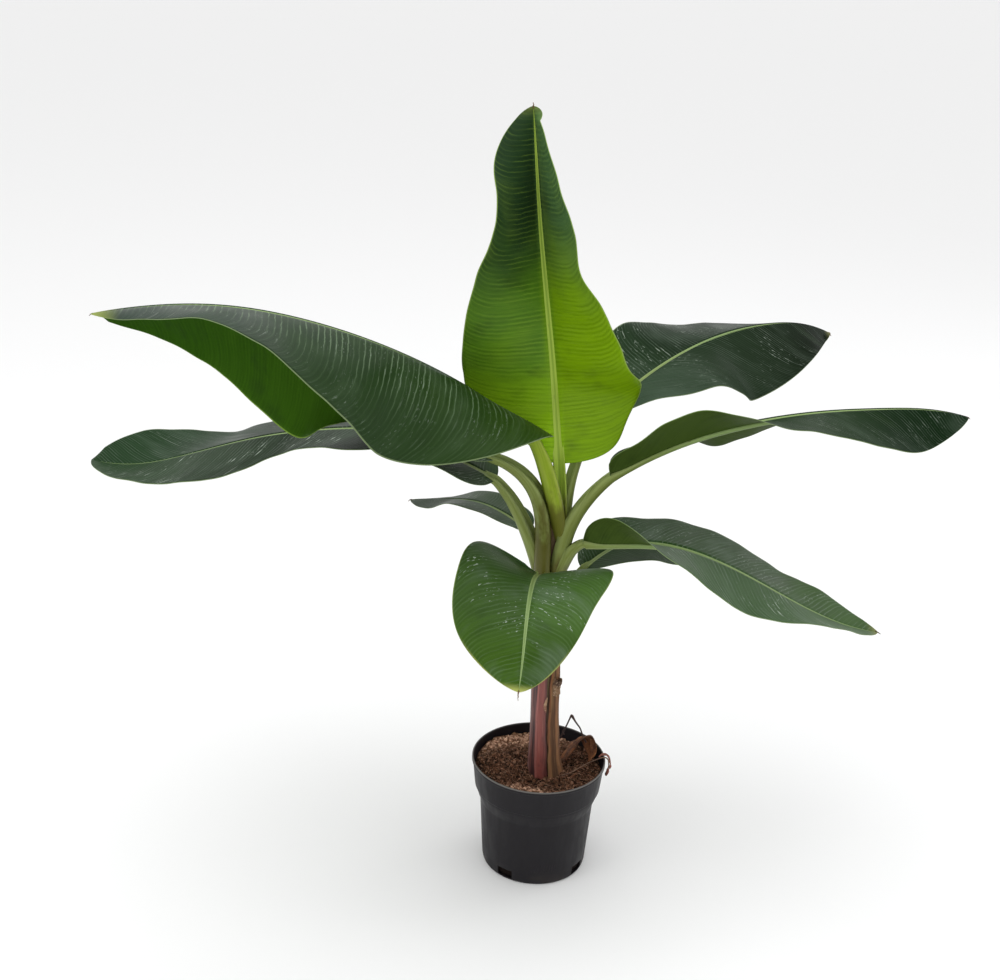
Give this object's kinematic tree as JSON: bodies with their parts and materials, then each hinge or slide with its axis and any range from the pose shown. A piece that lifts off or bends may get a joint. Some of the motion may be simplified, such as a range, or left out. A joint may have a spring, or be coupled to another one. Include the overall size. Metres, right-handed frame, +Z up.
{
  "type": "potted banana plant",
  "caption": "Young banana plant: broad drooping paddle leaves on channelled stalks from a wrapped, slightly bent stem, in a round tapered nursery pot.",
  "frame": {"origin": "centre of the pot's flat underside", "axes": "+Z up, -Y towards the viewer of the picture, +X to the viewer's right"},
  "size_m": [1.2819, 0.6155, 1.1815],
  "materials": {
    "pot_plastic": "matte",
    "potting_soil": "matte",
    "stem_green": "satin",
    "red_sheath": "satin",
    "dry_sheath": "matte",
    "dry_scraps": "matte",
    "leaf_stalk": "satin",
    "leaf_green": "satin",
    "leaf_new": "satin"
  },
  "bodies": {
    "root": {"pot": "pot_plastic", "root_ball": "potting_soil", "pseudostem": "stem_green", "red_sheath": "red_sheath", "dry_sheath": "dry_sheath", "old_stub": "dry_scraps", "dead_leaf": "dry_scraps", "petiole_top": "leaf_stalk", "leaf_top": "leaf_new", "petiole_big_left": "leaf_stalk", "leaf_big_left": "leaf_green", "petiole_right_back": "leaf_stalk", "leaf_right_back": "leaf_green", "petiole_low_left": "leaf_stalk", "leaf_low_left": "leaf_green", "petiole_mid_right": "leaf_stalk", "leaf_mid_right": "leaf_green", "petiole_back": "leaf_stalk", "leaf_back": "leaf_green", "petiole_low_right": "leaf_stalk", "leaf_low_right": "leaf_green", "petiole_low_back": "leaf_stalk", "leaf_low_back": "leaf_green", "petiole_small_left": "leaf_stalk", "leaf_small_left": "leaf_green", "petiole_front": "leaf_stalk", "leaf_front": "leaf_green"}
  },
  "joints": []
}
